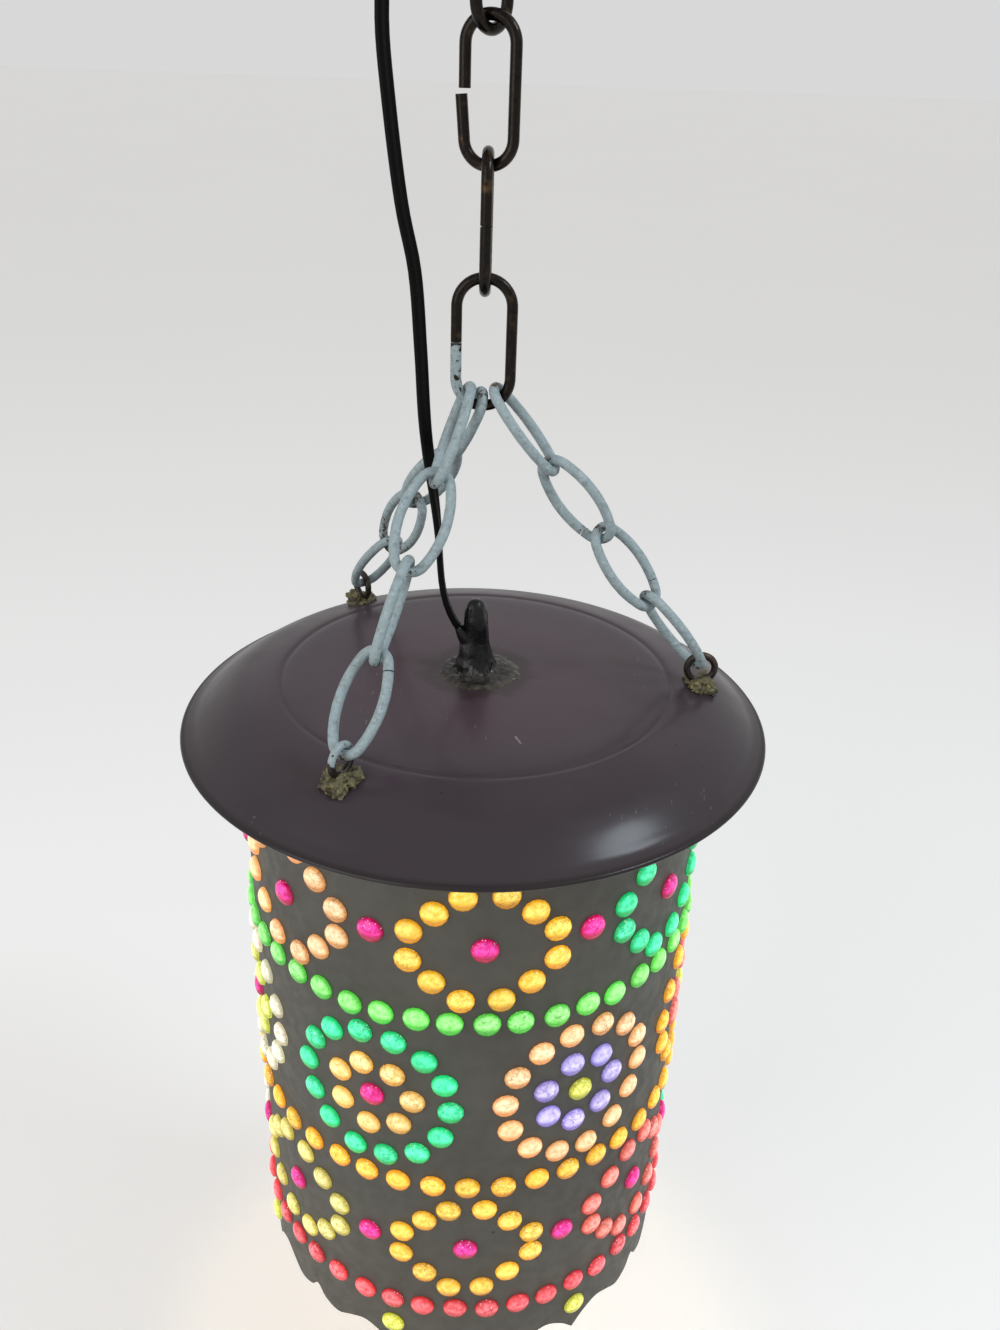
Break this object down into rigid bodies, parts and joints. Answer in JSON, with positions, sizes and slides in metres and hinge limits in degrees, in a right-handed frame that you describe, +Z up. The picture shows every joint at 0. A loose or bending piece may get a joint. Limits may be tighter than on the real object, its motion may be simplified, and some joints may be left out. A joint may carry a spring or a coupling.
{
  "type": "swag lamp",
  "caption": "Hanging swag lamp: a straight pierced metal shade with a wavy lower edge under a wide enamelled dish cap, on a chain bridle, with a flat black cord.",
  "frame": {"origin": "middle of the hook plate's ceiling face", "axes": "+Z up into the ceiling, +X to the right and +Y away seen from the front"},
  "size_m": [0.2532, 0.254, 0.7842],
  "materials": {
    "dark_bronze": "dark bronze, worn satin",
    "pale_paint": "pale blue-grey paint, chipped",
    "eye_wire": "worn dark paint",
    "epoxy": "yellow-green hardened adhesive",
    "zinc_steel": "zinc plated",
    "cap_enamel": "glossy plum-grey enamel",
    "shade_paint": "olive-grey satin paint",
    "black_rubber": "black moulded rubber",
    "sealant": "dark smeared sealant",
    "brass": "brass",
    "fibre_liner": "insulating fibre",
    "phenolic": "dark brown moulding",
    "bulb_glass": "frosted, lit",
    "black_vinyl": "black flexible vinyl",
    "tie_fabric": "woven strap"
  },
  "bodies": {
    "hook": {"swag_hook": "dark_bronze"},
    "top_link": {"chain_link_1": "dark_bronze"},
    "second_link": {"chain_link_2": "dark_bronze"},
    "lamp": {"chain_link_3": "dark_bronze", "chain_link_7": "dark_bronze", "cap": "cap_enamel", "shade": "shade_paint", "cord_boot": "black_rubber", "sealant_pad": "sealant", "nipple": "brass", "locknut_upper": "brass", "locknut_lower": "brass", "nipple_washer": "zinc_steel", "cord_lead": "black_vinyl", "socket_cap": "brass", "socket_shell": "brass", "socket_liner": "fibre_liner", "socket_body": "phenolic", "screw_shell": "brass", "cord": "black_vinyl", "cord_coil": "black_vinyl", "cord_tail": "black_vinyl", "coil_tie": "tie_fabric", "plug_body": "black_rubber", "plug_blade_left": "brass", "plug_blade_right": "brass", "eye_right": "eye_wire", "eye_right_epoxy": "epoxy", "eye_right_nut": "zinc_steel", "eye_rear": "eye_wire", "eye_rear_epoxy": "epoxy", "eye_rear_nut": "zinc_steel", "eye_front": "eye_wire", "eye_front_epoxy": "epoxy", "eye_front_nut": "zinc_steel"},
    "link_4": {"chain_link_4": "dark_bronze"},
    "link_5": {"chain_link_5": "dark_bronze"},
    "link_6": {"chain_link_6": "dark_bronze"},
    "right_leg_link_1": {"leg_right_link_1": "pale_paint"},
    "right_leg_link_2": {"leg_right_link_2": "pale_paint"},
    "right_leg_link_3": {"leg_right_link_3": "pale_paint"},
    "right_leg_link_4": {"leg_right_link_4": "pale_paint"},
    "rear_leg_link_1": {"leg_rear_link_1": "pale_paint"},
    "rear_leg_link_2": {"leg_rear_link_2": "pale_paint"},
    "rear_leg_link_3": {"leg_rear_link_3": "pale_paint"},
    "rear_leg_link_4": {"leg_rear_link_4": "pale_paint"},
    "front_leg_link_1": {"leg_front_link_1": "pale_paint"},
    "front_leg_link_2": {"leg_front_link_2": "pale_paint"},
    "front_leg_link_3": {"leg_front_link_3": "pale_paint"},
    "front_leg_link_4": {"leg_front_link_4": "pale_paint"},
    "bulb": {"bulb_base": "brass", "bulb_glass": "bulb_glass"},
    "knob": {"switch_knob": "phenolic"}
  },
  "joints": [
    {"name": "swing_side", "type": "hinge", "parent": "hook", "child": "top_link", "pos_m": [0, 0, -0.04475], "axis": [0, 1, 0], "range_deg": [-15, 15]},
    {"name": "swing_front", "type": "hinge", "parent": "top_link", "child": "second_link", "pos_m": [0, 0, -0.0875], "axis": [1, 0, 0], "range_deg": [-15, 15]},
    {"name": "lamp_turn", "type": "hinge", "parent": "second_link", "child": "lamp", "pos_m": [0, 0, -0.13085], "axis": [0, 0, 1], "range_deg": [-30, 30]},
    {"name": "link_4_turn", "type": "hinge", "parent": "lamp", "child": "link_4", "pos_m": [0, 0, -0.1935], "axis": [0, 0, 1], "range_deg": [-10, 25]},
    {"name": "link_5_turn", "type": "hinge", "parent": "lamp", "child": "link_5", "pos_m": [0, 0, -0.23685], "axis": [0, 0, 1], "range_deg": [-20, 10]},
    {"name": "link_6_turn", "type": "hinge", "parent": "lamp", "child": "link_6", "pos_m": [0, 0, -0.2802], "axis": [0, 0, 1], "range_deg": [-20, 20]},
    {"name": "right_leg_twist_1", "type": "hinge", "parent": "lamp", "child": "right_leg_link_1", "pos_m": [0.01704, 0, -0.35681], "axis": [-0.617, 0, 0.787], "range_deg": [-10, 10]},
    {"name": "right_leg_twist_2", "type": "hinge", "parent": "lamp", "child": "right_leg_link_2", "pos_m": [0.03928, 0, -0.38518], "axis": [-0.617, 0, 0.787], "range_deg": [-10, 10]},
    {"name": "right_leg_twist_3", "type": "hinge", "parent": "lamp", "child": "right_leg_link_3", "pos_m": [0.06151, 0, -0.41354], "axis": [-0.617, 0, 0.787], "range_deg": [-10, 10]},
    {"name": "right_leg_twist_4", "type": "hinge", "parent": "lamp", "child": "right_leg_link_4", "pos_m": [0.08375, 0, -0.4419], "axis": [-0.617, 0, 0.787], "range_deg": [-10, 5]},
    {"name": "rear_leg_twist_1", "type": "hinge", "parent": "lamp", "child": "rear_leg_link_1", "pos_m": [-0.00769, 0.00815, -0.35936], "axis": [0.3857, -0.5274, 0.7571], "range_deg": [-8, 5]},
    {"name": "rear_leg_twist_2", "type": "hinge", "parent": "lamp", "child": "rear_leg_link_2", "pos_m": [-0.02179, 0.02742, -0.38703], "axis": [0.3857, -0.5274, 0.7571], "range_deg": [-8, 8]},
    {"name": "rear_leg_twist_3", "type": "hinge", "parent": "lamp", "child": "rear_leg_link_3", "pos_m": [-0.03588, 0.0467, -0.41471], "axis": [0.3857, -0.5274, 0.7571], "range_deg": [-20, 8]},
    {"name": "rear_leg_twist_4", "type": "hinge", "parent": "lamp", "child": "rear_leg_link_4", "pos_m": [-0.04998, 0.06597, -0.44238], "axis": [0.3857, -0.5274, 0.7571], "range_deg": [-16, 16]},
    {"name": "front_leg_twist_1", "type": "hinge", "parent": "lamp", "child": "front_leg_link_1", "pos_m": [-0.01112, -0.00889, -0.35723], "axis": [0.2726, 0.5759, 0.7707], "range_deg": [-5, 8]},
    {"name": "front_leg_twist_2", "type": "hinge", "parent": "lamp", "child": "front_leg_link_2", "pos_m": [-0.02111, -0.03001, -0.3855], "axis": [0.2726, 0.5759, 0.7707], "range_deg": [-8, 16]},
    {"name": "front_leg_twist_3", "type": "hinge", "parent": "lamp", "child": "front_leg_link_3", "pos_m": [-0.03111, -0.05113, -0.41376], "axis": [0.2726, 0.5759, 0.7707], "range_deg": [-16, 8]},
    {"name": "front_leg_twist_4", "type": "hinge", "parent": "lamp", "child": "front_leg_link_4", "pos_m": [-0.04111, -0.07225, -0.44202], "axis": [0.2726, 0.5759, 0.7707], "range_deg": [-8, 20]},
    {"name": "bulb_turn", "type": "hinge", "parent": "lamp", "child": "bulb", "pos_m": [0, 0, -0.51615], "axis": [0, 0, 1], "continuous": true},
    {"name": "switch_knob_turn", "type": "hinge", "parent": "lamp", "child": "knob", "pos_m": [0.0235, 0, -0.49665], "axis": [1, 0, 0], "continuous": true}
  ]
}
